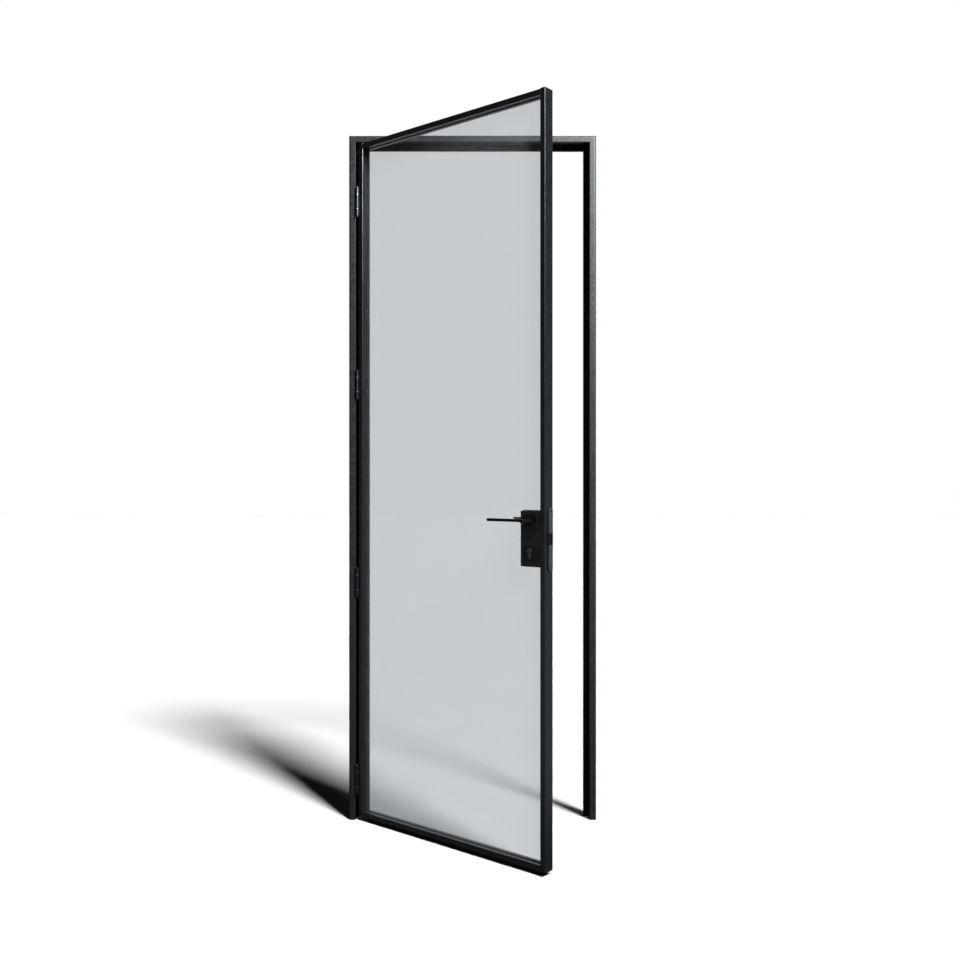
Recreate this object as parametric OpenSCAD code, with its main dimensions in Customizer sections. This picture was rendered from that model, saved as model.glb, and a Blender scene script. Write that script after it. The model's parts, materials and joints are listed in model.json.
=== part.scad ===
// Single-leaf swing door in a slim metal profile, with its three-sided frame.
// The model stands in its own frame: origin at the centre of the hinge jamb's foot,
// +X along the frame to the lock side, +Y to the stop side, +Z up.
// Pieces are drawn in door coordinates: x from the frame's outer hinge edge,
// y from the frame's front plane, z from the floor.

/* [Frame] */
// Overall width of the frame
frame_w = 852; // [740:1:1000]
// Overall height of the frame above the floor
frame_h = 2358; // [2250:1:2500]
// Depth of the frame from front to back
frame_depth = 52; // [51:0.5:60]
// Width of the frame's visible face
jamb_face = 22; // [20:0.5:30]
// Reach of the stop past the face
stop_reach = 18.5; // [17:0.5:22]
// Thickness of the stop
stop_thick = 10; // [9:0.5:11]
// Wall of the frame's hollow profile
frame_wall = 2; // [1.6:0.1:2.4]
// Radius of the frame's outer front edge
frame_round = 6; // [2:0.5:6]
// Thickness of the pad under each jamb
foot_pad = 2; // [1:0.5:4]
// Height of the lower wall fixing
fixing_low_z = 300; // [240:1:400]
// Radius of the wall fixing holes
fixing_r = 3.25; // [2.5:0.25:4]

/* [Leaf] */
// Angle that the leaf stands open
open_angle = 39.7; // [0:0.1:120]
// Thickness of the leaf
leaf_thick = 40; // [38:0.5:41]
// Visible width of the stiles and rails
stile_face = 18; // [17:0.5:24]
// Gap between the leaf and the hinge jamb
gap_hinge = 12; // [12:0.5:14]
// Gap between the leaf and the lock jamb
gap_lock = 6; // [5:0.5:8]
// Gap between the leaf and the frame head
gap_head = 8; // [4:0.5:12]
// Gap between the leaf and the floor
gap_floor = 13; // [6:0.5:20]
// Wall of the leaf's hollow profile
leaf_wall = 2; // [1.6:0.1:2.2]
// Radius of the leaf profile's edges
leaf_round = 2; // [0.5:0.25:2.5]
// Width of the glazing groove
groove_w = 13; // [12.5:0.5:15]
// Depth of the glazing groove
groove_deep = 10; // [9:0.5:11]
// Thickness of the stile end caps
cap_thick = 1.5; // [1:0.25:3]
// Width of the shadow joint at the rail ends
joint_w = 1.6; // [1:0.2:3]
// Thickness of the glass
glass_thick = 8; // [6:0.5:10]
// Clearance between the glass edge and the groove's floor
glass_edge_gap = 2; // [1.5:0.25:3]

/* [Hinges] */
// Height of the second hinge's centre
hinge_2_z = 819; // [700:1:840]
// Height of the third hinge's centre
hinge_3_z = 1500; // [1400:1:1600]
// Height of the lowest hinge's centre above the leaf's lower edge
hinge_low_rise = 127; // [90:1:200]
// Distance of the top hinge's centre below the leaf's upper edge
hinge_top_drop = 199; // [120:1:260]
// Length of a hinge barrel
hinge_h = 100; // [90:1:120]
// Radius of a hinge barrel
barrel_r = 6; // [5:0.1:6.1]
// Radius of a hinge pin
pin_r = 3; // [2.5:0.1:3.5]
// Length of each end knuckle
end_knuckle = 24.5; // [20:0.5:28]
// Distance of the hinge axis in front of the leaf's front plane
axis_ahead = 3; // [3:0.1:5]
// Thickness of the hinge plates
plate_t = 3; // [2.5:0.1:3.5]
// Depth of the hinge plates along the jamb
plate_deep = 27.5; // [24:0.5:30]

/* [Lock and handle] */
// Height of the lever's spindle above the floor
handle_z = 1046; // [1000:1:1100]
// Distance of the spindle from the lock edge
backset = 50; // [48:0.5:52]
// Distance of the key plug's axis below the spindle
key_drop = 86; // [84:0.5:90]
// Distance of the latch's centre below the spindle
latch_drop = 50; // [47:0.5:52]
// Reach of the lock box from the lock edge
box_reach = 90; // [88:0.5:100]
// Height of the lock box above the spindle
box_above = 33; // [30:0.5:40]
// Depth of the lock box below the key plug's axis
box_below = 47; // [44:0.5:56]
// Width of the forend's grey plates
forend_w = 20; // [18:0.5:22]
// Width of the forend's black base
forend_base_w = 28; // [26:0.5:30]
// Reach of the forend past each end of the lock case
forend_over = 16; // [14:0.5:20]
// Thickness of the forend's grey plates
forend_t = 1.8; // [1.5:0.1:2.2]
// Depth of the lock's centre plane behind the leaf's front
lock_y = 23; // [22:0.25:23.5]
// Offset of the grey plates behind the lock's centre plane
forend_shift = 3.7; // [2:0.1:4]
// Height of the latch bolt
latch_h = 30; // [26:0.5:32]
// Thickness of the latch bolt
latch_t = 16.4; // [14:0.1:16.4]
// Throw of the latch bolt
latch_throw = 9; // [6:0.5:9]
// Side of the square roses
rose_w = 47; // [45:0.5:50]
// Thickness of the roses
rose_t = 9; // [8:0.5:11]
// Length of the lever from the spindle to its tip
lever_len = 126.5; // [110:0.5:150]
// Distance of the lever's centre line from the rose's base
lever_out = 48; // [42:0.5:56]
// Height of the lever's bar
lever_h = 8.5; // [7:0.25:10]
// Depth of the lever's bar
lever_d = 16; // [12:0.5:20]
// Radius of the lever's neck
neck_r = 10; // [9:0.25:10.5]

/* [Fits] */
// Radial clearance of a turning fit
run_fit = 0.05; // [0.02:0.01:0.08]
// Clearance between moving faces
slide_gap = 0.3; // [0.2:0.05:0.4]
// Clearance of a loose seat
seat_gap = 0.15; // [0.05:0.05:0.25]

/* [Hidden] */
$fn = 48;
cut = 1;

frame_paint = [0.07, 0.075, 0.08];
leaf_paint = [0.06, 0.065, 0.07];
hardware_black = [0.09, 0.09, 0.095];
forend_grey = [0.27, 0.29, 0.31];
bright_steel = [0.62, 0.63, 0.65];
rubber_black = [0.03, 0.03, 0.03];
glass_tint = [0.8, 0.84, 0.86, 0.35];

// Frame profile
edge_round = 1;
rebate_deep = frame_depth - stop_thick;
stop_front_wall = 2 * frame_wall;
cleat_leg = 60;

// Seal on the stop
seal_stem_w = 3;
seal_stem_d = 2.5;
seal_head_w = 7;
seal_head_t = 1.6;
seal_from_corner = 0.5;

// Leaf envelope and profile
leaf_x0 = jamb_face + gap_hinge;
leaf_x1 = frame_w - jamb_face - gap_lock;
leaf_z0 = gap_floor;
leaf_z1 = frame_h - jamb_face - gap_head;
rail_z0 = leaf_z0 + cap_thick;
rail_z1 = leaf_z1 - cap_thick;
rail_x0 = leaf_x0 + stile_face;
rail_x1 = leaf_x1 - stile_face;
flange_d = (leaf_thick - groove_w) / 2;
web_chamber = stile_face - groove_deep - 2 * leaf_wall;
joint_deep = 1.5;

// Glass and gaskets
glass_y0 = (leaf_thick - glass_thick) / 2;
bite = groove_deep - glass_edge_gap;
glass_x0 = rail_x0 - bite;
glass_x1 = rail_x1 + bite;
glass_z0 = rail_z0 + stile_face - bite;
glass_z1 = rail_z1 - stile_face + bite;
gasket_t = (groove_w - glass_thick) / 2;
gasket_lip = 1;
notch_gap = 2;
block_len = 80;
block_inset = 150;

// Hinge geometry
axis_x = jamb_face + gap_hinge / 2 + 0.5;
axis_y = -axis_ahead;
hinge_zs = [leaf_z0 + hinge_low_rise, hinge_2_z, hinge_3_z, leaf_z1 - hinge_top_drop];
plate_y0 = 3.5;
washer_t = 1;
knuckle_gap = 0.1;
mid_knuckle = hinge_h - 2 * end_knuckle - 2 * washer_t - 2 * knuckle_gap;
hinge_screw_r = 2;
hinge_screw_head_r = 4;
hinge_screw_len = 10.5;
hinge_screw_z = [for (i = [0:3]) (i - 1.5) * hinge_h / 4];
hinge_screw_y = [for (i = [0:3]) plate_y0 + plate_deep * (i % 2 == 0 ? 0.3 : 0.7)];

// Lock geometry
spindle_x = leaf_x1 - backset;
key_z = handle_z - key_drop;
lock_mid = handle_z - latch_drop;
box_inset = 0.5;
box_wall = 1.5;
box_x0 = leaf_x1 - box_reach;
box_z0 = key_z - box_below;
box_z1 = handle_z + box_above;
box_y0 = box_inset;
box_y1 = leaf_thick - box_inset;
case_wall = 1.5;
case_t = latch_t + 2 * slide_gap + 2 * case_wall;
case_y0 = lock_y - case_t / 2;
case_y1 = lock_y + case_t / 2;
case_margin = 4;
base_t = 2.2;
base_proud = 0.7;
forend_let = base_proud + forend_t;
case_x0 = box_x0 + case_margin;
case_x1 = leaf_x1 + base_proud - base_t;
case_z0 = box_z0 + case_margin;
case_z1 = box_z1 - case_margin;
forend_mid = (case_z0 + case_z1) / 2;
forend_h = case_z1 - case_z0 + 2 * forend_over;
forend_screw_past = 5;
forend_y = lock_y + forend_shift;
collar_margin = 2;
small_screw_r = 2;
small_head_r = 3.9;
cylinder_screw_drop = 18;

// Key cylinder, to the common profile of 17 by 33 mm
profile_r = 8.5;
profile_leg_w = 10;
profile_h = 33;
profile_leg_drop = profile_h - profile_r - profile_leg_w / 2;
cylinder_proud = 1;
plug_r = 6.4;
cam_r = 15;
cam_w = 9.4;
cam_slot_w = 10;
cam_bridge_drop = 15.4;
keyway_w = 2;
keyway_h = 8;
keyway_deep = 14;

// Roses, levers and spindle
rose_wall = 2;
rose_round = 3;
rose_bevel = 1;
key_rose_drop = 8;
rose_screw_r = 2;
rose_screw_off = 16.5;
spindle_w = 8;
spindle_end = 8;
socket_deep = 30;
follower_r = 12;
hub_r = 9;
follower_t = 10;
lug_w = 8;
spring_strip = 0.8;
spring_fold = 2.5;
spring_z = case_z1 - case_wall - spring_fold - spring_strip;
lug_reach = spring_z - handle_z - 0.45;
grub_r = 2;

// Strike in the lock jamb
strike_h = 170;
strike_t = frame_wall;
strike_hole_gap = 1.5;
strike_back_t = 2;
strike_box_wall = 1.5;
strike_box_deep = 14;
strike_screw_rise = 70;
magnet_t = 4;
wall_x = frame_w - jamb_face;

// Placing of the fixed and swung pieces
module placed() {
    translate([-jamb_face / 2, -frame_depth / 2, 0]) children();
}

module swung() {
    placed() translate([axis_x, axis_y, 0]) rotate([0, 0, -open_angle])
        translate([-axis_x, -axis_y, 0]) children();
}

// Solids that run along y from y0 to y1, drawn in x and z
module along_y(y0, y1) {
    translate([0, y1, 0]) rotate([90, 0, 0]) linear_extrude(y1 - y0) children();
}

// Round bar along y
module bar_y(x, z, r, y0, y1) {
    translate([x, y1, z]) rotate([90, 0, 0]) cylinder(h = y1 - y0, r = r);
}

// Round bar along x
module bar_x(y, z, r, x0, x1) {
    translate([x0, y, z]) rotate([0, 90, 0]) cylinder(h = x1 - x0, r = r);
}

// Box between two corners
module block(low, high) {
    translate(low) cube(high - low);
}

// Points of a quarter round about a centre
function arc(cx, cy, r, from, steps = 5) =
    [for (i = [0:steps]) [cx + r * cos(from + 90 * i / steps), cy + r * sin(from + 90 * i / steps)]];

// Outline of a rectangle with rounded corners
function round_box(w, d, r) = concat(
    arc(r, r, r, 180), arc(w - r, r, r, 270), arc(w - r, d - r, r, 0), arc(r, d - r, r, 90));

// Countersunk screw along +x, with its head's top at x = 0
module countersunk(len, r, head_r) {
    rotate([0, 90, 0]) union() {
        cylinder(h = head_r - r, r1 = head_r, r2 = r);
        cylinder(h = len, r = r);
    }
}

// Section of the frame's tube
module tube_section() {
    difference() {
        polygon(concat(
            arc(frame_round, frame_round, frame_round, 180),
            arc(jamb_face - edge_round, edge_round, edge_round, 270),
            [[jamb_face, frame_depth]],
            arc(edge_round, frame_depth - edge_round, edge_round, 90)));
        polygon(round_box_at(frame_wall, frame_wall, jamb_face - 2 * frame_wall, frame_depth - 2 * frame_wall,
            max(frame_round - frame_wall, edge_round)));
    }
}

// Section of the stop beside the tube's back inner edge, with the groove for its seal
module stop_section() {
    stop_x1 = jamb_face + stop_reach;
    difference() {
        polygon(concat(
            [[jamb_face, frame_depth], [jamb_face, rebate_deep]],
            arc(stop_x1 - edge_round, rebate_deep + edge_round, edge_round, 270),
            arc(stop_x1 - edge_round, frame_depth - edge_round, edge_round, 0)));
        translate([jamb_face + frame_wall, rebate_deep + stop_front_wall])
            square([stop_reach - 2 * frame_wall, stop_thick - stop_front_wall - frame_wall]);
        translate([seal_stem_x, rebate_deep - cut]) square([seal_stem_w, seal_stem_d + cut]);
    }
}
seal_x0 = jamb_face + seal_from_corner;
seal_stem_x = seal_x0 + (seal_head_w - seal_stem_w) / 2;

function round_box_at(x, y, w, d, r) = [for (p = round_box(w, d, r)) p + [x, y]];

// Section of the stop's seal: a stem in the groove and a rounded lip in front
module seal_section() {
    lip_r = seal_head_t / 2;
    translate([seal_stem_x + seat_gap, rebate_deep - cut / 2])
        square([seal_stem_w - 2 * seat_gap, seal_stem_d - seat_gap + cut / 2]);
    translate([seal_x0, rebate_deep - seal_head_t])
        polygon(concat(
            arc(lip_r, lip_r, lip_r, 180),
            arc(seal_head_w - lip_r, lip_r, lip_r, 270),
            [[seal_head_w, seal_head_t], [0, seal_head_t]]));
}

// Everything above the mitre at the hinge side's upper corner
module above_mitre() {
    reach = 2 * (jamb_face + stop_reach);
    translate([0, 0, frame_h]) rotate([0, 45, 0])
        translate([-reach, -frame_depth, 0]) cube([2 * reach, 3 * frame_depth, reach]);
}

// Everything below that mitre
module below_mitre() {
    reach = 2 * (jamb_face + stop_reach);
    translate([0, 0, frame_h]) rotate([0, 45, 0])
        translate([-reach, -frame_depth, -reach]) cube([2 * reach, 3 * frame_depth, reach]);
}

module mirrored_to_lock_side() {
    translate([frame_w, 0, 0]) mirror([1, 0, 0]) children();
}

// Upright with a mitred top, from a section
module mitred_upright(z0) {
    difference() {
        translate([0, 0, z0]) linear_extrude(frame_h - z0) children();
        above_mitre();
    }
}

// Cross piece with both ends mitred, from the same section
module mitred_head() {
    difference() {
        translate([0, 0, frame_h]) rotate([0, 90, 0]) linear_extrude(frame_w) children();
        below_mitre();
        mirrored_to_lock_side() below_mitre();
    }
}

fixing_y = 20;
access_r = 6;
fixing_zs = [fixing_low_z, (hinge_zs[2] + hinge_zs[3]) / 2];

// Holes for the wall fixings: a clearance hole in the outer wall, an access hole in the rebate
module fixing_holes() {
    for (z = fixing_zs) {
        bar_x(fixing_y, z, fixing_r, -cut, frame_wall + cut);
        bar_x(fixing_y, z, access_r, jamb_face - frame_wall - cut, jamb_face + cut);
    }
}

// Screws of one hinge's frame half, heads towards the gap
module frame_screws(z, grow = 0) {
    for (i = [0:3])
        translate([jamb_face + plate_t, hinge_screw_y[i], z + hinge_screw_z[i]]) mirror([1, 0, 0])
            countersunk(hinge_screw_len, hinge_screw_r + grow, hinge_screw_head_r + grow);
}

// Screws of one hinge's leaf half
module leaf_screws(z, grow = 0) {
    for (i = [0:3])
        translate([leaf_x0 - plate_t, hinge_screw_y[i], z + hinge_screw_z[i]])
            countersunk(hinge_screw_len, hinge_screw_r + grow, hinge_screw_head_r + grow);
}

module hinge_jamb() {
    color(frame_paint) placed() difference() {
        mitred_upright(foot_pad) tube_section();
        fixing_holes();
        for (z = hinge_zs) frame_screws(z, run_fit);
    }
}

strike_w = 24;
strike_y0 = lock_y - strike_w / 2;
strike_y1 = lock_y + strike_w / 2;
strike_z0 = lock_mid - strike_h / 2;
strike_z1 = lock_mid + strike_h / 2;

module lock_jamb() {
    color(frame_paint) placed() difference() {
        mirrored_to_lock_side() difference() {
            mitred_upright(foot_pad) tube_section();
            fixing_holes();
        }
        block([wall_x - cut, strike_y0 - seat_gap, strike_z0 - seat_gap],
            [wall_x + frame_wall + cut, strike_y1 + seat_gap, strike_z1 + seat_gap]);
    }
}

module frame_head() {
    color(frame_paint) placed() mitred_head() tube_section();
}

module hinge_stop() {
    color(frame_paint) placed() mitred_upright(foot_pad) stop_section();
}

module lock_stop() {
    color(frame_paint) placed() mirrored_to_lock_side() mitred_upright(foot_pad) stop_section();
}

module head_stop() {
    color(frame_paint) placed() mitred_head() stop_section();
}

// Corner cleats inside the mitres
module frame_cleats() {
    thick = jamb_face - 2 * frame_wall - 2 * seat_gap;
    low = frame_wall + seat_gap;
    y0 = frame_wall + frame_round;
    y1 = frame_depth - frame_wall - frame_round;
    module cleat() {
        block([low, y0, frame_h - low - cleat_leg], [low + thick, y1, frame_h - low]);
        block([low, y0, frame_h - low - thick], [low + cleat_leg, y1, frame_h - low]);
    }
    color(bright_steel) placed() {
        cleat();
        mirrored_to_lock_side() cleat();
    }
}

// Pads under the jambs, each with a plug in the tube
module jamb_feet() {
    plug_h = 12;
    module foot() {
        linear_extrude(foot_pad) polygon(concat(
            arc(frame_round, frame_round, frame_round, 180),
            arc(jamb_face - edge_round, edge_round, edge_round, 270),
            [[jamb_face, rebate_deep],
             [jamb_face + stop_reach, rebate_deep],
             [jamb_face + stop_reach, frame_depth]],
            arc(edge_round, frame_depth - edge_round, edge_round, 90)));
        block([frame_wall + seat_gap, frame_wall + frame_round, 0],
            [jamb_face - frame_wall - seat_gap, frame_depth - frame_wall - frame_round, foot_pad + plug_h]);
    }
    color(rubber_black) placed() {
        foot();
        mirrored_to_lock_side() foot();
    }
}

// Seals in the stops: two uprights and the head's length between their mitres
module stop_seals() {
    color(rubber_black) placed() {
        mitred_upright(foot_pad) seal_section();
        mirrored_to_lock_side() mitred_upright(foot_pad) seal_section();
        mitred_head() seal_section();
    }
}

// Room for the latch in the strike
module strike_room(x0, x1, grow) {
    half_t = latch_t / 2 + strike_hole_gap + grow;
    half_h = latch_h / 2 + strike_hole_gap + grow;
    block([x0, lock_y - half_t, lock_mid - half_h], [x1, lock_y + half_t, lock_mid + half_h]);
}

module strike_screw_set(grow = 0) {
    for (side = [-1, 1])
        translate([wall_x, lock_y, lock_mid + side * strike_screw_rise])
            countersunk(strike_t + strike_back_t + 3, small_screw_r + grow, small_head_r + grow);
}

module strike_plate() {
    color(hardware_black) placed() difference() {
        block([wall_x, strike_y0, strike_z0], [wall_x + strike_t, strike_y1, strike_z1]);
        strike_room(wall_x - cut, wall_x + strike_t + cut, 0);
        strike_screw_set(run_fit);
    }
}

// Backing strip behind the plate, with the dust box for the latch
module strike_box() {
    back_x = wall_x + frame_wall;
    lap = 5;
    color(hardware_black) placed() difference() {
        union() {
            block([back_x, strike_y0 - lap, strike_z0 - lap],
                [back_x + strike_back_t, strike_y1 + lap, strike_z1 + lap]);
            strike_room(back_x, back_x + strike_box_deep, strike_box_wall);
        }
        strike_room(back_x - cut, back_x + strike_box_deep - strike_box_wall, 0);
        strike_screw_set(run_fit);
    }
}

module strike_magnet() {
    x1 = wall_x + frame_wall + strike_box_deep - strike_box_wall;
    color(bright_steel) placed()
        block([x1 - magnet_t, lock_y - latch_t / 4, lock_mid - latch_h / 4],
            [x1, lock_y + latch_t / 4, lock_mid + latch_h / 4]);
}

module strike_screws() {
    color(hardware_black) placed() strike_screw_set();
}

// Caps that close the access holes in the rebates
module fixing_caps() {
    rim = 1.5;
    module caps() {
        for (z = fixing_zs) {
            bar_x(fixing_y, z, access_r + rim, jamb_face, jamb_face + 1);
            bar_x(fixing_y, z, access_r - seat_gap, jamb_face - frame_wall, jamb_face + 1);
        }
    }
    color(hardware_black) placed() {
        caps();
        mirrored_to_lock_side() caps();
    }
}

// Barrel section of a hinge, with the bore for its pin
module knuckle(z0, z1) {
    translate([axis_x, axis_y, z0]) cylinder(h = z1 - z0, r = barrel_r);
}

module pin_bore(z) {
    translate([axis_x, axis_y, z - hinge_h]) cylinder(h = 2 * hinge_h, r = pin_r + run_fit);
}

// Hinge half on the jamb: a plate with the two end knuckles
module hinge_frame_half(i) {
    z = hinge_zs[i];
    x0 = jamb_face;
    ends = [[-hinge_h / 2, -hinge_h / 2 + end_knuckle], [hinge_h / 2 - end_knuckle, hinge_h / 2]];
    color(hardware_black) placed() difference() {
        union() {
            block([x0, plate_y0, z - hinge_h / 2], [x0 + plate_t, plate_y0 + plate_deep, z + hinge_h / 2]);
            for (e = ends) {
                block([x0, axis_y, z + e[0]], [x0 + plate_t, plate_y0 + cut, z + e[1]]);
                knuckle(z + e[0], z + e[1]);
            }
        }
        pin_bore(z);
        frame_screws(z, run_fit);
    }
}

// Hinge half on the leaf: a plate with the middle knuckle
module hinge_leaf_half(i) {
    z = hinge_zs[i];
    x1 = leaf_x0;
    half = mid_knuckle / 2;
    color(hardware_black) swung() difference() {
        union() {
            block([x1 - plate_t, plate_y0, z - hinge_h / 2], [x1, plate_y0 + plate_deep, z + hinge_h / 2]);
            block([x1 - plate_t, axis_y, z - half], [x1, plate_y0 + cut, z + half]);
            knuckle(z - half, z + half);
        }
        pin_bore(z);
        leaf_screws(z, run_fit);
    }
}

module hinge_1_frame_half() { hinge_frame_half(0); }
module hinge_2_frame_half() { hinge_frame_half(1); }
module hinge_3_frame_half() { hinge_frame_half(2); }
module hinge_4_frame_half() { hinge_frame_half(3); }
module hinge_1_leaf_half() { hinge_leaf_half(0); }
module hinge_2_leaf_half() { hinge_leaf_half(1); }
module hinge_3_leaf_half() { hinge_leaf_half(2); }
module hinge_4_leaf_half() { hinge_leaf_half(3); }

module hinge_pins() {
    color(bright_steel) placed() for (z = hinge_zs)
        translate([axis_x, axis_y, z - hinge_h / 2]) cylinder(h = hinge_h, r = pin_r);
}

// Bearing washers on the inner faces of the end knuckles
module hinge_washers() {
    color(bright_steel) placed() for (z = hinge_zs, side = [0, 1])
        translate([axis_x, axis_y, z + (side == 0 ? -1 : 1) * (hinge_h / 2 - end_knuckle) - side * washer_t])
            difference() {
                cylinder(h = washer_t, r = barrel_r);
                translate([0, 0, -cut]) cylinder(h = washer_t + 2 * cut, r = pin_r + run_fit);
            }
}

module hinge_screws_frame() {
    color(hardware_black) placed() for (z = hinge_zs) frame_screws(z);
}

module hinge_screws_leaf() {
    color(hardware_black) swung() for (z = hinge_zs) leaf_screws(z);
}

// Section of the leaf: a web, two flanges and the glazing groove between them
module leaf_section() {
    flange_room = flange_d - 2 * leaf_wall;
    flange_u0 = 2 * leaf_wall + web_chamber;
    difference() {
        polygon(round_box(stile_face, leaf_thick, leaf_round));
        translate([stile_face - groove_deep, flange_d]) square([groove_deep + cut, groove_w]);
        translate([leaf_wall, leaf_wall]) square([web_chamber, leaf_thick - 2 * leaf_wall]);
        for (v = [leaf_wall, leaf_thick - leaf_wall - flange_room])
            translate([flange_u0, v]) square([groove_deep - leaf_wall, flange_room]);
    }
}

// Slots where the corner cleats pass from a stile into the rails
module cleat_slots() {
    for (z = [rail_z0 + leaf_wall, rail_z1 - leaf_wall - web_chamber])
        block([leaf_x0 + leaf_wall, leaf_wall, z],
            [rail_x0 + cut, leaf_thick - leaf_wall, z + web_chamber]);
}

module mirrored_in_leaf() {
    translate([leaf_x0 + leaf_x1, 0, 0]) mirror([1, 0, 0]) children();
}

module stile() {
    difference() {
        translate([leaf_x0, 0, rail_z0]) linear_extrude(rail_z1 - rail_z0) leaf_section();
        cleat_slots();
    }
}

module hinge_stile() {
    color(leaf_paint) swung() difference() {
        stile();
        for (z = hinge_zs) leaf_screws(z, run_fit);
    }
}

// Round-ended upright outline in y and z
module slot_outline(y, width, height, grow = 0) {
    r = width / 2 + grow;
    straight = height / 2 - width / 2;
    for (side = [-1, 1]) translate([y, forend_mid + side * straight]) circle(r);
    translate([y - r, forend_mid - straight]) square([2 * r, 2 * straight]);
}

module base_outline(grow = 0) {
    slot_outline(lock_y, forend_base_w, forend_h + 2 * collar_margin, grow);
}

// Solids that run along x from x0 to x1, drawn in y and z
module along_x(x0, x1) {
    translate([x0, 0, 0]) rotate([90, 0, 90]) linear_extrude(x1 - x0) children();
}

module lock_stile() {
    color(leaf_paint) swung() difference() {
        mirrored_in_leaf() stile();
        block([rail_x1 - cut, case_y0 - seat_gap, case_z0 - seat_gap],
            [leaf_x1 + cut, case_y1 + seat_gap, case_z1 + seat_gap]);
        along_x(case_x1, leaf_x1 + cut) base_outline(seat_gap);
        forend_screw_set(run_fit);
    }
}

// Rail with a shadow joint cut across the front and back at each end
module rail() {
    difference() {
        rotate([0, 90, 0]) linear_extrude(rail_x1 - rail_x0) leaf_section();
        for (x = [-cut, rail_x1 - rail_x0 - joint_w], y = [-cut, leaf_thick - joint_deep])
            translate([x, y, -stile_face - cut])
                cube([joint_w + cut, joint_deep + cut, stile_face + 2 * cut]);
    }
}

module top_rail() {
    color(leaf_paint) swung() translate([rail_x0, 0, rail_z1]) rail();
}

module bottom_rail() {
    color(leaf_paint) swung() translate([rail_x0, 0, rail_z0]) mirror([0, 0, 1]) rail();
}

// Caps on the stile ends, each with two plugs in the flange chambers
module stile_caps() {
    plug_h = 10;
    plug_w = groove_deep - leaf_wall - 2 * seat_gap;
    plug_d = flange_d - 2 * leaf_wall - 2 * seat_gap;
    plug_x = leaf_x0 + 2 * leaf_wall + web_chamber + seat_gap;
    slot_drop = 2 * leaf_wall + web_chamber;
    module cap() {
        translate([leaf_x0, 0, 0]) linear_extrude(cap_thick)
            polygon(round_box(stile_face, leaf_thick, leaf_round));
        for (y = [leaf_wall + seat_gap, leaf_thick - leaf_wall - seat_gap - plug_d])
            translate([plug_x, y, -leaf_wall + seat_gap]) cube([plug_w, plug_d, leaf_wall]);
    }
    color(hardware_black) swung() {
        for (side = [0, 1]) {
            translate([side * (leaf_x0 + leaf_x1), 0, 0]) mirror([side, 0, 0]) {
                translate([0, 0, rail_z1]) cap();
                translate([0, 0, rail_z0]) mirror([0, 0, 1]) cap();
            }
        }
    }
}

// Corner cleats of the leaf: a leg up the stile's web and a leg into the rail's web
module corner_cleats() {
    thick = web_chamber - 2 * seat_gap;
    y0 = leaf_wall + seat_gap;
    y1 = leaf_thick - leaf_wall - seat_gap;
    x0 = leaf_x0 + leaf_wall + seat_gap;
    leg = 50;
    z1 = rail_z1 - leaf_wall - seat_gap;
    z0 = rail_z0 + leaf_wall + seat_gap;
    module pair() {
        block([x0, y0, z1 - leg], [x0 + thick, y1, z1]);
        block([x0, y0, z1 - thick], [rail_x0 + leg, y1, z1]);
        block([x0, y0, z0], [x0 + thick, y1, z0 + leg]);
        block([x0, y0, z0], [rail_x0 + leg, y1, z0 + thick]);
    }
    color(bright_steel) swung() {
        pair();
        mirrored_in_leaf() pair();
    }
}

// Notch that the lock box takes out of the glazing
module lock_notch(grow, y0, y1) {
    block([box_x0 - grow, y0, box_z0 - grow], [leaf_x1, y1, box_z1 + grow]);
}

module glass_pane() {
    color(glass_tint) swung() difference() {
        block([glass_x0, glass_y0, glass_z0], [glass_x1, glass_y0 + glass_thick, glass_z1]);
        lock_notch(notch_gap, 0, leaf_thick);
    }
}

// Rubber frame between the glass and one flange
module gasket(y0) {
    out = groove_deep - leaf_wall / 2;
    in = gasket_lip;
    color(rubber_black) swung() difference() {
        block([rail_x0 - out, y0, rail_z0 + stile_face - out],
            [rail_x1 + out, y0 + gasket_t, rail_z1 - stile_face + out]);
        block([rail_x0 + in, y0 - cut, rail_z0 + stile_face + in],
            [rail_x1 - in, y0 + gasket_t + cut, rail_z1 - stile_face - in]);
        lock_notch(notch_gap, 0, leaf_thick);
    }
}

module gasket_front() { gasket(flange_d); }
module gasket_back() { gasket(glass_y0 + glass_thick); }

// Blocks that carry and centre the glass in the rails' grooves
module setting_blocks() {
    floor_z = rail_z0 + stile_face - groove_deep;
    roof_z = rail_z1 - stile_face + groove_deep;
    color(rubber_black) swung()
        for (x = [leaf_x0 + block_inset, leaf_x1 - block_inset - block_len], z = [floor_z, roof_z - glass_edge_gap])
            block([x, glass_y0, z], [x + block_len, glass_y0 + glass_thick, z + glass_edge_gap]);
}

// Outline of the key cylinder about its plug's axis
module key_profile(grow = 0) {
    circle(profile_r + grow);
    translate([0, -profile_leg_drop]) circle(profile_leg_w / 2 + grow);
    translate([-profile_leg_w / 2 - grow, -profile_leg_drop]) square([profile_leg_w + 2 * grow, profile_leg_drop]);
}

rose_screw_places = [
    [spindle_x + rose_screw_off, handle_z], [spindle_x - rose_screw_off, handle_z],
    [spindle_x + rose_screw_off, key_z - key_rose_drop], [spindle_x - rose_screw_off, key_z - key_rose_drop]
];
rose_screw_y0 = box_y0 - rose_t + rose_wall + seat_gap;
rose_screw_y1 = box_y1 + rose_t - rose_wall - seat_gap;

// Holes through the lock for the hub, the key cylinder and the rose screws
module lock_holes(hub, y0, y1) {
    bar_y(spindle_x, handle_z, hub, y0, y1);
    translate([spindle_x, 0, key_z]) along_y(y0, y1) key_profile(seat_gap);
    for (p = rose_screw_places) bar_y(p[0], p[1], rose_screw_r + run_fit, y0, y1);
}

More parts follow.
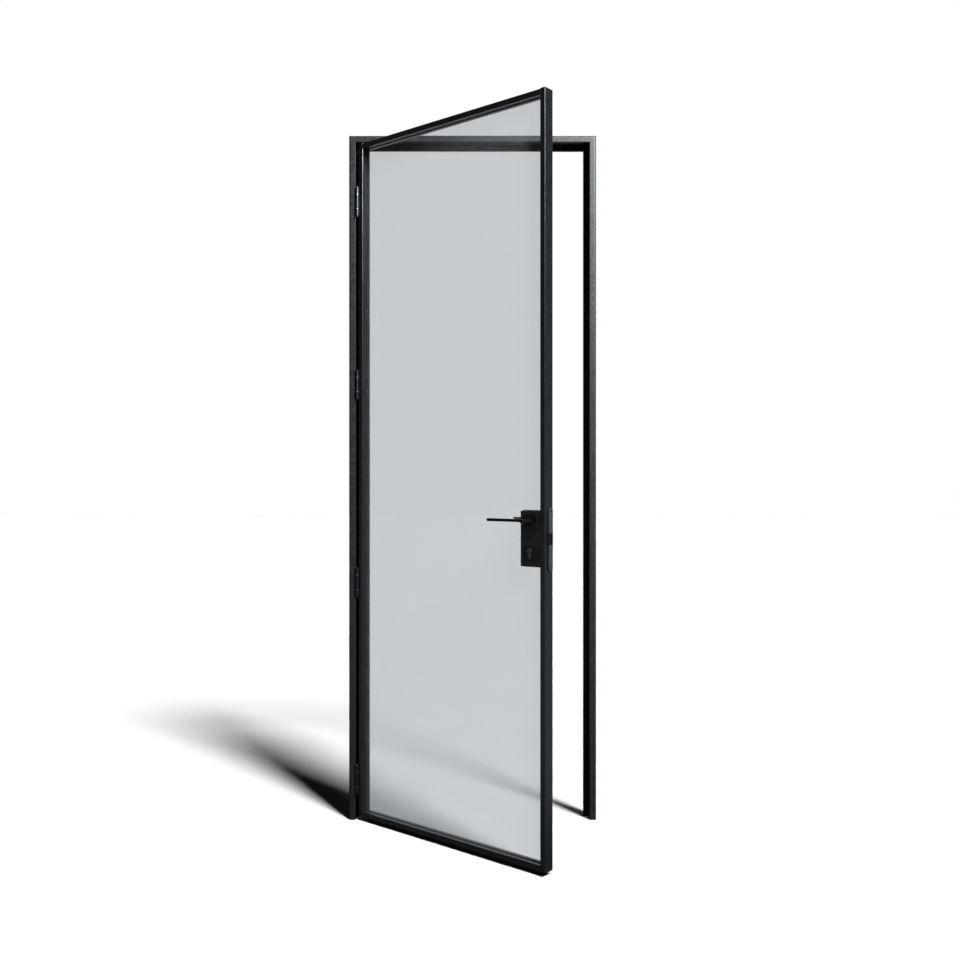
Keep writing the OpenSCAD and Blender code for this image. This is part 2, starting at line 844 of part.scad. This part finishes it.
// Folded box that carries the lock beside the stile, open towards it
module lock_box() {
    color(leaf_paint) swung() difference() {
        block([box_x0, box_y0, box_z0], [rail_x1, box_y1, box_z1]);
        block([box_x0 + box_wall, box_y0 + box_wall, box_z0 + box_wall],
            [rail_x1 + cut, box_y1 - box_wall, box_z1 - box_wall]);
        lock_holes(follower_r, -cut, leaf_thick + cut);
    }
}

// Rubber edging between the lock box and the glass
module lock_box_gasket() {
    side = 1;
    y0 = glass_y0 - side;
    y1 = glass_y0 + glass_thick + side;
    color(rubber_black) swung() difference() {
        block([box_x0 - notch_gap, y0, box_z0 - notch_gap], [rail_x1, y1, box_z1 + notch_gap]);
        block([box_x0, y0 - cut, box_z0], [rail_x1 + cut, y1 + cut, box_z1]);
    }
}

// Pan of the mortise lock, closed by the forend and the cover
module lock_case() {
    cover_y = case_y1 - case_wall;
    color(bright_steel) swung() difference() {
        block([case_x0, case_y0, case_z0], [case_x1, cover_y, case_z1]);
        block([case_x0 + case_wall, case_y0 + case_wall, case_z0 + case_wall],
            [case_x1 + cut, cover_y + cut, case_z1 - case_wall]);
        lock_holes(hub_r + run_fit, case_y0 - cut, case_y1 + cut);
    }
}

module lock_cover() {
    color(bright_steel) swung() difference() {
        block([case_x0, case_y1 - case_wall, case_z0], [case_x1, case_y1, case_z1]);
        lock_holes(hub_r + run_fit, case_y0 - cut, case_y1 + cut);
    }
}

module forend_screw_set(grow = 0) {
    for (side = [-1, 1])
        translate([leaf_x1 + forend_let, forend_y, forend_mid + side * (forend_h / 2 - forend_over + forend_screw_past)])
            mirror([1, 0, 0])
                countersunk(forend_let + stile_face / 2, small_screw_r + grow, small_head_r + grow);
}

module cylinder_screw_solid(grow = 0) {
    translate([leaf_x1 + forend_let, lock_y, key_z - cylinder_screw_drop]) mirror([1, 0, 0])
        countersunk(backset + forend_let + profile_leg_w / 2, small_screw_r + grow, small_head_r + grow);
}

// Room for the latch in the forend
module latch_room(x0, x1) {
    block([x0, lock_y - latch_t / 2 - slide_gap, lock_mid - latch_h / 2 - slide_gap],
        [x1, lock_y + latch_t / 2 + slide_gap, lock_mid + latch_h / 2 + slide_gap]);
}

// Space that the latch and its collar take between the grey plates
module collar_zone(x0, x1, grow) {
    half_h = latch_h / 2 + slide_gap + collar_margin + grow;
    block([x0, lock_y - forend_base_w / 2, lock_mid - half_h], [x1, lock_y + forend_base_w / 2, lock_mid + half_h]);
}

// Grey plates above and below the latch
module forend() {
    face_x = leaf_x1 + base_proud;
    color(forend_grey) swung() difference() {
        along_x(face_x, face_x + forend_t) slot_outline(forend_y, forend_w, forend_h);
        collar_zone(face_x - cut, face_x + forend_t + cut, 0.1);
        forend_screw_set(run_fit);
        cylinder_screw_solid(run_fit);
    }
}

// Black base under the plates, with the collar round the latch
module forend_base() {
    face_x = leaf_x1 + base_proud;
    color(hardware_black) swung() difference() {
        union() {
            along_x(case_x1, face_x) base_outline();
            collar_zone(face_x - cut, face_x + forend_t, 0);
        }
        latch_room(case_x1 - cut, leaf_x1 + forend_let + cut);
        forend_screw_set(run_fit);
        cylinder_screw_solid(run_fit);
    }
}

module forend_screws() {
    color(bright_steel) swung() forend_screw_set();
}

module cylinder_screw() {
    color(bright_steel) swung() cylinder_screw_solid();
}

cylinder_y0 = box_y0 - rose_t - cylinder_proud;
cylinder_y1 = box_y1 + rose_t + cylinder_proud;

// Key cylinder's body, slotted in the middle for the cam
module cylinder_body() {
    slot_y0 = lock_y - cam_slot_w / 2;
    slot_y1 = lock_y + cam_slot_w / 2;
    color(bright_steel) swung() difference() {
        translate([spindle_x, 0, key_z]) along_y(cylinder_y0, cylinder_y1) key_profile();
        bar_y(spindle_x, key_z, plug_r + run_fit, cylinder_y0 - cut, cylinder_y1 + cut);
        block([spindle_x - cam_r, slot_y0, key_z - cam_bridge_drop], [spindle_x + cam_r, slot_y1, key_z + cam_r]);
        cylinder_screw_solid(run_fit);
    }
}

// Plug with a keyway in each end and the cam in the middle
module key_plug() {
    color(bright_steel) swung() difference() {
        union() {
            bar_y(spindle_x, key_z, plug_r, cylinder_y0, cylinder_y1);
            translate([spindle_x, 0, key_z]) along_y(lock_y - cam_w / 2, lock_y + cam_w / 2) {
                circle(profile_r);
                intersection() {
                    circle(cam_r);
                    translate([-profile_leg_w / 2, 0]) square([profile_leg_w, cam_r]);
                }
            }
        }
        for (y = [cylinder_y0 - cut, cylinder_y1 - keyway_deep])
            translate([spindle_x - keyway_w / 2, y, key_z - keyway_h / 2])
                cube([keyway_w, keyway_deep + cut, keyway_h]);
    }
}

// Flat spring under the lock's roof that brings the levers back
module return_spring() {
    half_len = 18;
    width = 8;
    color(bright_steel) swung() translate([spindle_x, 0, spring_z])
        along_y(lock_y - width / 2, lock_y + width / 2) {
            translate([-half_len, spring_fold]) square([2 * half_len, spring_strip]);
            translate([-half_len, 0]) square([2 * half_len, spring_strip]);
            translate([half_len - spring_strip, 0]) square([spring_strip, spring_fold + spring_strip]);
        }
}

// Outline of a square rose about its centre
module rose_outline(inset = 0) {
    side = rose_w - 2 * inset;
    translate([-side / 2, -side / 2]) polygon(round_box(side, side, max(rose_round - inset, 0.5)));
}

// Hollow cover with a bevelled front edge; its front faces -y at y = 0
module rose_cover() {
    difference() {
        union() {
            along_y(rose_bevel, rose_t) rose_outline();
            along_y(rose_bevel / 2, rose_t) rose_outline(rose_bevel / 3);
            along_y(0, rose_t) rose_outline(rose_bevel);
        }
        along_y(rose_wall, rose_t + cut) rose_outline(rose_wall);
    }
}

// A rose on the front or back face of the lock box
module on_face(z, back) {
    translate([spindle_x, back ? box_y1 + rose_t : box_y0 - rose_t, z])
        mirror([0, back ? 1 : 0, 0]) children();
}

module handle_rose(back) {
    color(hardware_black) swung() difference() {
        on_face(handle_z, back) rose_cover();
        bar_y(spindle_x, handle_z, neck_r + slide_gap, cylinder_y0 - cut, cylinder_y1 + cut);
    }
}

module key_rose(back) {
    color(hardware_black) swung() difference() {
        on_face(key_z - key_rose_drop, back) rose_cover();
        translate([spindle_x, 0, key_z]) along_y(cylinder_y0 - cut, cylinder_y1 + cut) key_profile(seat_gap);
    }
}

module rose_front_handle() { handle_rose(false); }
module rose_back_handle() { handle_rose(true); }
module rose_front_key() { key_rose(false); }
module rose_back_key() { key_rose(true); }

// Bases under the covers: they guide the lever necks and take the screws
module rose_bases() {
    color(hardware_black) swung() difference() {
        for (back = [false, true], z = [handle_z, key_z - key_rose_drop])
            on_face(z, back) along_y(rose_wall + seat_gap, rose_t) rose_outline(rose_wall + seat_gap);
        bar_y(spindle_x, handle_z, neck_r + run_fit, cylinder_y0, cylinder_y1);
        translate([spindle_x, 0, key_z]) along_y(cylinder_y0, cylinder_y1) key_profile(seat_gap);
        for (p = rose_screw_places) bar_y(p[0], p[1], rose_screw_r + run_fit, cylinder_y0, cylinder_y1);
    }
}

module rose_screws() {
    color(bright_steel) swung() for (p = rose_screw_places)
        bar_y(p[0], p[1], rose_screw_r, rose_screw_y0, rose_screw_y1);
}

// Lever on the front, its neck along -y from the rose's base
module lever() {
    y_mid = box_y0 - lever_out;
    bar_z0 = handle_z + neck_r - lever_h;
    neck_y1 = box_y0 - slide_gap;
    bar_round = 1.5;
    difference() {
        union() {
            bar_y(spindle_x, handle_z, neck_r, y_mid - lever_d / 2, neck_y1);
            translate([spindle_x - lever_len, y_mid - lever_d / 2, bar_z0])
                along_x(0, lever_len) polygon(round_box(lever_d, lever_h, bar_round));
        }
        neck_slope(bar_z0, y_mid - lever_d / 2);
        spindle_solid(run_fit);
        grub_solid(run_fit);
    }
}

// Wedge that slopes the neck's underside up to the bar
module neck_slope(bar_z0, y_front) {
    y_start = box_y0 - rose_t - spindle_end - grub_r - 2;
    z_low = handle_z - neck_r;
    y_end = y_front + lever_d / 2;
    translate([spindle_x - 2 * neck_r, 0, 0]) along_x(0, 4 * neck_r)
        polygon([[y_start, z_low], [y_end, bar_z0], [y_front - cut, bar_z0], [y_front - cut, z_low - cut],
            [y_start, z_low - cut]]);
}

// Square bar that joins the levers through the follower
module spindle_solid(grow = 0) {
    half = spindle_w / 2 + grow;
    block([spindle_x - half, box_y0 - socket_deep, handle_z - half],
        [spindle_x + half, box_y1 + socket_deep, handle_z + half]);
}

// Grub screw in the front neck's underside
module grub_solid(grow = 0) {
    y = box_y0 - rose_t - spindle_end;
    translate([spindle_x, y, handle_z - neck_r]) cylinder(h = neck_r - spindle_w / 2, r = grub_r + grow);
}

module lever_front() {
    color(hardware_black) swung() lever();
}

module mirrored_front_to_back() {
    translate([0, box_y0 + box_y1, 0]) mirror([0, 1, 0]) children();
}

module lever_back() {
    color(hardware_black) swung() mirrored_front_to_back() lever();
}

module spindle() {
    color(bright_steel) swung() spindle_solid();
}

module grub_screws() {
    color(bright_steel) swung() {
        grub_solid();
        mirrored_front_to_back() grub_solid();
    }
}

// Hub that the spindle turns inside the lock, with the lug that the spring meets
module follower() {
    hub_y0 = case_y0 + seat_gap;
    hub_y1 = case_y1 - seat_gap;
    color(bright_steel) swung() difference() {
        union() {
            bar_y(spindle_x, handle_z, hub_r, hub_y0, hub_y1);
            bar_y(spindle_x, handle_z, follower_r, lock_y - follower_t / 2, lock_y + follower_t / 2);
            block([spindle_x - lug_w / 2, lock_y - follower_t / 2, handle_z],
                [spindle_x + lug_w / 2, lock_y + follower_t / 2, handle_z + lug_reach]);
        }
        spindle_solid(run_fit);
    }
}

// Latch bolt: a bevelled head in the forend and a tail in the case
module latch_bolt() {
    head_len = 26;
    tail_len = 36;
    tail_h = 14;
    tail_t = 6;
    nose = 2.5;
    tip = leaf_x1 + forend_let;
    half_t = latch_t / 2;
    color(rubber_black) swung() {
        translate([0, 0, lock_mid - latch_h / 2]) linear_extrude(latch_h)
            polygon([
                [tip - head_len, lock_y - half_t], [tip - nose, lock_y - half_t], [tip, lock_y - half_t + nose],
                [tip, lock_y + half_t - nose], [tip - nose, lock_y + half_t], [tip - head_len, lock_y + half_t]]);
        block([tip - head_len - tail_len, lock_y - tail_t / 2, lock_mid - tail_h / 2],
            [tip - head_len + cut, lock_y + tail_t / 2, lock_mid + tail_h / 2]);
    }
}

hinge_jamb();
lock_jamb();
frame_head();
frame_cleats();
jamb_feet();
hinge_stop();
lock_stop();
head_stop();
stop_seals();
strike_plate();
strike_box();
strike_magnet();
strike_screws();
fixing_caps();
hinge_1_frame_half();
hinge_2_frame_half();
hinge_3_frame_half();
hinge_4_frame_half();
hinge_1_leaf_half();
hinge_2_leaf_half();
hinge_3_leaf_half();
hinge_4_leaf_half();
hinge_pins();
hinge_washers();
hinge_screws_frame();
hinge_screws_leaf();
hinge_stile();
lock_stile();
top_rail();
bottom_rail();
stile_caps();
corner_cleats();
glass_pane();
gasket_front();
gasket_back();
setting_blocks();
lock_box();
lock_box_gasket();
lock_case();
lock_cover();
forend();
forend_base();
forend_screws();
cylinder_body();
cylinder_screw();
return_spring();
rose_front_handle();
rose_back_handle();
rose_front_key();
rose_back_key();
rose_bases();
rose_screws();
lever_front();
lever_back();
spindle();
follower();
grub_screws();
latch_bolt();
key_plug();
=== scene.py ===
"""Looks of the swing door and its frame: procedural finishes, studio light, a pale floor and the camera."""
import json
import math

import bpy
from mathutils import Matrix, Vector

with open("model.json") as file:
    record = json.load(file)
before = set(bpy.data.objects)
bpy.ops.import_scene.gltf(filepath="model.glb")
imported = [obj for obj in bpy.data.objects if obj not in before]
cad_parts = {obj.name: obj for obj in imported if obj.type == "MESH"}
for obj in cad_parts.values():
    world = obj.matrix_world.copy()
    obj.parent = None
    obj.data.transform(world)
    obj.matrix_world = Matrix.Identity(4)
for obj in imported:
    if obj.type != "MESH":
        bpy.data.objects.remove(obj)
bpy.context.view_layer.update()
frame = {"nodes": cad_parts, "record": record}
scene = bpy.context.scene
nodes = frame["nodes"]

WHITE = (1.0, 1.0, 1.0, 1.0)
BLACK = (0.0, 0.0, 0.0, 1.0)
OFF_TO_ON = (0.0, 1.0)

# Finishes: gloss tints, the depth of the relief in metres, and the scales of the patterns
COOL_GLOSS = (0.84, 0.92, 1.0, 1.0)
FRAME_GLOSS = (0.95, 0.975, 1.0, 1.0)
RELIEF = 0.00002
COAT_TONES = (0.72, 1.3)
METAL_TONES = (0.8, 1.15)
LINES_SCALE = 60.0
DRAWN_UPWARDS = (8.0, 8.0, 0.6)
DRAWN_NO_WAY = (2.0, 2.0, 2.0)
GLASS_DARK = (0.712, 0.735, 0.762, 1.0)
GLASS_LIGHT = (0.737, 0.76, 0.787, 1.0)
GLASS_CLOUDS = 2.5
SKIMMING = (0.6, 0.76)

# Floor: metres, tones, and the share of it that is painted light, a white glow that lightens its shadow
# where it is seen through glass
FLOOR_REACH = 30.0
FLOOR_HEIGHT = -0.0002
FLOOR_COLOUR = (0.93, 0.93, 0.93, 1.0)
FLOOR_DIM = (0.05, 0.05, 0.05, 1.0)
FLOOR_GLOW_THROUGH_GLASS = 0.45
DOOR_MIDDLE = 0.42
SIDE_SLANT = 0.6

# Lamps, world and camera
KEY_TURN, KEY_RISE = math.radians(54.5), math.radians(50.5)
KEY_ENERGY = 4.4
KEY_ANGLE = math.radians(10.0)
GLOSS_PLACE = (3.04, -3.77, 4.8)
GLOSS_POWER = 4550.0
GLOSS_SIZE = 0.5
FILL_COLOUR = (0.95, 0.97, 1.0, 1.0)
FILL_STRENGTH = 0.004
CAMERA_PLACE = (0.4406, -3.495, 1.171)
CAMERA_LENS, CAMERA_SENSOR = 37.76, 36.0


def new_material(name):
    material = bpy.data.materials.new(name)
    material.use_nodes = True
    material.node_tree.nodes.clear()
    return material, material.node_tree.nodes, material.node_tree.links


def add(tree, kind, **values):
    node = tree.new(kind)
    for key, value in values.items():
        setattr(node, key, value)
    return node


def noise(tree, links, coords, scale, detail, rough):
    node = add(tree, "ShaderNodeTexNoise")
    node.inputs["Scale"].default_value = scale
    node.inputs["Detail"].default_value = detail
    node.inputs["Roughness"].default_value = rough
    links.new(coords, node.inputs["Vector"])
    return node.outputs["Fac"]


def ramp(tree, links, value, span, tones):
    """Run from the first tone to the second while the value crosses the span, and hold beyond it."""
    node = add(tree, "ShaderNodeMapRange")
    for name, number in zip(("From Min", "From Max", "To Min", "To Max"), span + tones):
        node.inputs[name].default_value = number
    links.new(value, node.inputs["Value"])
    return node.outputs["Result"]


def arithmetic(tree, links, operation, first, second):
    node = add(tree, "ShaderNodeMath", operation=operation)
    for socket, value in zip(node.inputs, (first, second)):
        if isinstance(value, float):
            socket.default_value = value
        else:
            links.new(value, socket)
    return node.outputs["Value"]


def split(tree, links, vector):
    node = add(tree, "ShaderNodeSeparateXYZ")
    links.new(vector, node.inputs["Vector"])
    return node.outputs["X"], node.outputs["Y"], node.outputs["Z"]


def scaled(colour, share):
    return tuple(channel * share for channel in colour) + (1.0,)


def two_tones(tree, links, factor, first, second):
    """Colour between two tones."""
    node = add(tree, "ShaderNodeMix", data_type="RGBA")
    node.inputs["A"].default_value = first
    node.inputs["B"].default_value = second
    links.new(factor, node.inputs["Factor"])
    return node.outputs["Result"]


def mix_shaders(tree, links, factor, first, second):
    node = add(tree, "ShaderNodeMixShader")
    links.new(factor, node.inputs["Fac"])
    links.new(first, node.inputs[1])
    links.new(second, node.inputs[2])
    return node.outputs["Shader"]


def glow(tree, kind, colour, strength):
    """Emission or Background of one colour and strength."""
    node = add(tree, kind)
    node.inputs["Color"].default_value = colour
    node.inputs["Strength"].default_value = strength
    return node.outputs[0]


def matt(tree, colour):
    node = add(tree, "ShaderNodeBsdfDiffuse")
    node.inputs["Color"].default_value = colour
    return node.outputs["BSDF"]


def emboss(tree, links, shader, height, strength):
    """Fine relief on a shader."""
    bump = add(tree, "ShaderNodeBump")
    bump.inputs["Strength"].default_value = strength
    bump.inputs["Distance"].default_value = RELIEF
    links.new(height, bump.inputs["Height"])
    links.new(bump.outputs["Normal"], shader.inputs["Normal"])


def to_output(tree, links, surface, kind="ShaderNodeOutputMaterial"):
    links.new(surface, add(tree, kind).inputs["Surface"])


def straight_seen(tree, links, path):
    """One where the camera looks, also through glass, and none for light that bounced on the way."""
    seen = arithmetic(tree, links, "MAXIMUM", path.outputs["Is Camera Ray"],
                      path.outputs["Is Transmission Ray"])
    bounces = arithmetic(tree, links, "ADD", path.outputs["Diffuse Depth"], path.outputs["Glossy Depth"])
    return arithmetic(tree, links, "MULTIPLY", seen, arithmetic(tree, links, "LESS_THAN", bounces, 0.5))


def coated(name, colour, rough, grain, mottle, specular=0.5, uneven=0.04, gloss_tint=COOL_GLOSS):
    """Powder coat, satin paint, rubber and plastic: a fine grain, with soft patches in colour and gloss."""
    material, tree, links = new_material(name)
    coords = add(tree, "ShaderNodeTexCoord").outputs["Object"]
    shader = add(tree, "ShaderNodeBsdfPrincipled")
    shader.inputs["Specular IOR Level"].default_value = specular
    shader.inputs["Specular Tint"].default_value = gloss_tint
    patches = noise(tree, links, coords, mottle, detail=5.0, rough=0.6)
    fine = noise(tree, links, coords, grain, detail=3.0, rough=0.55)
    tint = two_tones(tree, links, ramp(tree, links, patches, (0.32, 0.68), OFF_TO_ON),
                     *(scaled(colour, share) for share in COAT_TONES))
    links.new(tint, shader.inputs["Base Color"])
    dull = ramp(tree, links, patches, (0.3, 0.7), (rough - uneven, rough + uneven))
    links.new(dull, shader.inputs["Roughness"])
    emboss(tree, links, shader, fine, strength=0.35)
    to_output(tree, links, shader.outputs["BSDF"])
    return material


def brushed(name, colour, rough, stretch=DRAWN_UPWARDS):
    """Bare metal with fine drawn lines along one direction."""
    material, tree, links = new_material(name)
    mapping = add(tree, "ShaderNodeMapping")
    mapping.inputs["Scale"].default_value = stretch
    links.new(add(tree, "ShaderNodeTexCoord").outputs["Object"], mapping.inputs["Vector"])
    lines = noise(tree, links, mapping.outputs["Vector"], LINES_SCALE, detail=4.0, rough=0.6)
    shader = add(tree, "ShaderNodeBsdfPrincipled")
    shader.inputs["Metallic"].default_value = 1.0
    tint = two_tones(tree, links, lines, *(scaled(colour, share) for share in METAL_TONES))
    links.new(tint, shader.inputs["Base Color"])
    dull = ramp(tree, links, lines, (0.3, 0.7), (rough - 0.06, rough + 0.08))
    links.new(dull, shader.inputs["Roughness"])
    emboss(tree, links, shader, lines, strength=0.2)
    to_output(tree, links, shader.outputs["BSDF"])
    return material


def clear_glass(name):
    """Pane: clear glass with a grey tint and a faint haze; to rays from the floor it turns black where they
    skim it, a painted deepening of its shadow.
    """
    material, tree, links = new_material(name)
    coords = add(tree, "ShaderNodeTexCoord").outputs["Object"]
    shader = add(tree, "ShaderNodeBsdfPrincipled")
    shader.inputs["Transmission Weight"].default_value = 0.9
    shader.inputs["IOR"].default_value = 1.5
    shader.inputs["Roughness"].default_value = 0.0
    clouds = noise(tree, links, coords, GLASS_CLOUDS, detail=2.0, rough=0.5)
    tint = two_tones(tree, links, clouds, GLASS_DARK, GLASS_LIGHT)
    # Painted shadow: black for diffuse rays that skim the pane, so the floor behind it is darker
    slanting = ramp(tree, links, add(tree, "ShaderNodeLayerWeight").outputs["Facing"], SKIMMING, OFF_TO_ON)
    from_floor = add(tree, "ShaderNodeLightPath").outputs["Is Diffuse Ray"]
    painted_shadow_mix = add(tree, "ShaderNodeMix", data_type="RGBA")
    painted_shadow_mix.inputs["B"].default_value = BLACK
    links.new(arithmetic(tree, links, "MULTIPLY", from_floor, slanting), painted_shadow_mix.inputs["Factor"])
    links.new(tint, painted_shadow_mix.inputs["A"])
    links.new(painted_shadow_mix.outputs["Result"], shader.inputs["Base Color"])
    to_output(tree, links, shader.outputs["BSDF"])
    return material


finishes = {
    "frame_paint": coated("frame_paint", (0.006, 0.0074, 0.0094), rough=0.44, grain=900.0, mottle=85.0,
                          uneven=0.085, gloss_tint=FRAME_GLOSS),
    "leaf_paint": coated("leaf_paint", (0.0044, 0.0052, 0.0064), rough=0.31, grain=900.0, mottle=60.0,
                         specular=1.0),
    "hardware_black": coated("hardware_black", (0.003, 0.0034, 0.004), rough=0.33, grain=1400.0, mottle=60.0,
                             specular=0.6),
    "lever_black": coated("lever_black", (0.003, 0.0034, 0.004), rough=0.36, grain=1400.0, mottle=60.0,
                          specular=0.2),
    "black_plastic": coated("black_plastic", (0.0032, 0.0034, 0.0038), rough=0.5, grain=1200.0, mottle=80.0,
                            specular=0.15),
    "seal_rubber": coated("seal_rubber", (0.0115, 0.0125, 0.014), rough=0.55, grain=1500.0, mottle=50.0,
                          specular=0.4),
    "forend_metal": brushed("forend_metal", (0.14, 0.155, 0.175), rough=0.42),
    "plain_steel": brushed("plain_steel", (0.5, 0.5, 0.51), rough=0.35),
    "cleat_aluminium": brushed("cleat_aluminium", (0.6, 0.6, 0.61), rough=0.45),
    "cylinder_metal": brushed("cylinder_metal", (0.19, 0.2, 0.215), rough=0.3, stretch=DRAWN_NO_WAY),
    "clear_glass": clear_glass("clear_glass"),
}
# Nodes that look other than the rest of their material slot
other_finish = {
    "forend_screws": "hardware_black",
    "lever_front": "lever_black",
    "lever_back": "lever_black",
}
for part in frame["record"]["subparts"]:
    mesh = nodes[part["node"]].data
    mesh.materials.clear()
    mesh.materials.append(finishes[other_finish.get(part["node"], part["material_slot"])])

# Pale floor; in reflections it shows a painted reflection: dark in front of the door, a grey glow beside it
# and a pale glow behind it
floor_mesh = bpy.data.meshes.new("floor")
corners = [(-1, -1), (1, -1), (1, 1), (-1, 1)]
floor_mesh.from_pydata([(x * FLOOR_REACH, y * FLOOR_REACH, 0) for x, y in corners], [], [(0, 1, 2, 3)])
floor = bpy.data.objects.new("floor", floor_mesh)
scene.collection.objects.link(floor)
floor.location = (0.0, 0.0, FLOOR_HEIGHT)
floor_material, tree, links = new_material("floor")
path = add(tree, "ShaderNodeLightPath")
east, north, _ = split(tree, links, add(tree, "ShaderNodeTexCoord").outputs["Object"])
aside = arithmetic(tree, links, "MAXIMUM", arithmetic(tree, links, "SUBTRACT", east, DOOR_MIDDLE),
                   arithmetic(tree, links, "SUBTRACT", DOOR_MIDDLE, east))
beside = arithmetic(tree, links, "MULTIPLY", ramp(tree, links, aside, (0.5, 1.0), OFF_TO_ON),
                    ramp(tree, links, east, (-1.0, 2.0), (0.1, 0.17)))
away = arithmetic(tree, links, "SUBTRACT", north, arithmetic(tree, links, "MULTIPLY", aside, SIDE_SLANT))
beyond = ramp(tree, links, away, (0.5, 2.5), (0.0, 0.9))
painted_reflection_tone = arithmetic(tree, links, "MAXIMUM", beside, beyond)
# Painted reflection: the floor glows for reflected rays alone, grey beside the door and pale behind it
painted_gleam = add(tree, "ShaderNodeEmission")
links.new(arithmetic(tree, links, "MULTIPLY", path.outputs["Is Glossy Ray"], painted_reflection_tone),
          painted_gleam.inputs["Strength"])
painted_reflection = add(tree, "ShaderNodeAddShader")
links.new(matt(tree, FLOOR_DIM), painted_reflection.inputs[0])
links.new(painted_gleam.outputs["Emission"], painted_reflection.inputs[1])
# Painted light: through glass the floor is partly a white glow, which lightens its shadow there
through_glass = arithmetic(tree, links, "MULTIPLY", path.outputs["Is Transmission Ray"], FLOOR_GLOW_THROUGH_GLASS)
floor_lifted_through_glass = mix_shaders(tree, links, through_glass, matt(tree, FLOOR_COLOUR),
                     glow(tree, "ShaderNodeEmission", WHITE, 1.0))
to_output(tree, links, mix_shaders(tree, links, straight_seen(tree, links, path),
                                   painted_reflection.outputs["Shader"], floor_lifted_through_glass))
floor_mesh.materials.append(floor_material)

# Soft key light from the front right, and a lamp that shows as gloss alone
key_data = bpy.data.lights.new("key", "SUN")
key_data.energy = KEY_ENERGY
key_data.angle = KEY_ANGLE
key = bpy.data.objects.new("key", key_data)
scene.collection.objects.link(key)
to_key = Vector((math.cos(KEY_RISE) * math.cos(KEY_TURN), -math.cos(KEY_RISE) * math.sin(KEY_TURN),
                 math.sin(KEY_RISE)))
key.rotation_euler = to_key.to_track_quat("Z", "Y").to_euler()
gloss_data = bpy.data.lights.new("gloss", "POINT")
gloss_data.energy = GLOSS_POWER
gloss_data.shadow_soft_size = GLOSS_SIZE
gloss = bpy.data.objects.new("gloss", gloss_data)
scene.collection.objects.link(gloss)
gloss.location = GLOSS_PLACE
gloss.visible_diffuse = False

# White to the eye and through glass; in mirrors white behind the door, grey beside it and dark in front
world = bpy.data.worlds.new("studio")
scene.world = world
world.use_nodes = True
tree = world.node_tree.nodes
links = world.node_tree.links
tree.clear()
path = add(tree, "ShaderNodeLightPath")
east, north, up = split(tree, links, add(tree, "ShaderNodeTexCoord").outputs["Generated"])
behind = ramp(tree, links, north, (0.45, 0.9), OFF_TO_ON)
sideways = arithmetic(tree, links, "MAXIMUM", east, arithmetic(tree, links, "SUBTRACT", 0.0, east))
side = arithmetic(tree, links, "MULTIPLY", ramp(tree, links, sideways, (0.6, 0.95), OFF_TO_ON),
                  ramp(tree, links, east, (-1.0, 1.0), (0.07, 0.16)))
side = arithmetic(tree, links, "MULTIPLY", side, ramp(tree, links, up, (0.0, 0.3), (1.0, 0.5)))
reflected = arithmetic(tree, links, "MULTIPLY", path.outputs["Is Glossy Ray"],
                       arithmetic(tree, links, "MAXIMUM", behind, side))
white = arithmetic(tree, links, "MAXIMUM", straight_seen(tree, links, path), reflected)
fill = glow(tree, "ShaderNodeBackground", FILL_COLOUR, FILL_STRENGTH)
backdrop = glow(tree, "ShaderNodeBackground", WHITE, 1.0)
to_output(tree, links, mix_shaders(tree, links, white, fill, backdrop), "ShaderNodeOutputWorld")

# Level camera in front of the frame
camera_data = bpy.data.cameras.new("camera")
camera_data.sensor_width = CAMERA_SENSOR
camera_data.lens = CAMERA_LENS
camera = bpy.data.objects.new("camera", camera_data)
scene.collection.objects.link(camera)
camera.location = CAMERA_PLACE
camera.rotation_euler = (math.radians(90.0), 0.0, 0.0)
scene.camera = camera
scene.view_settings.view_transform = "Standard"
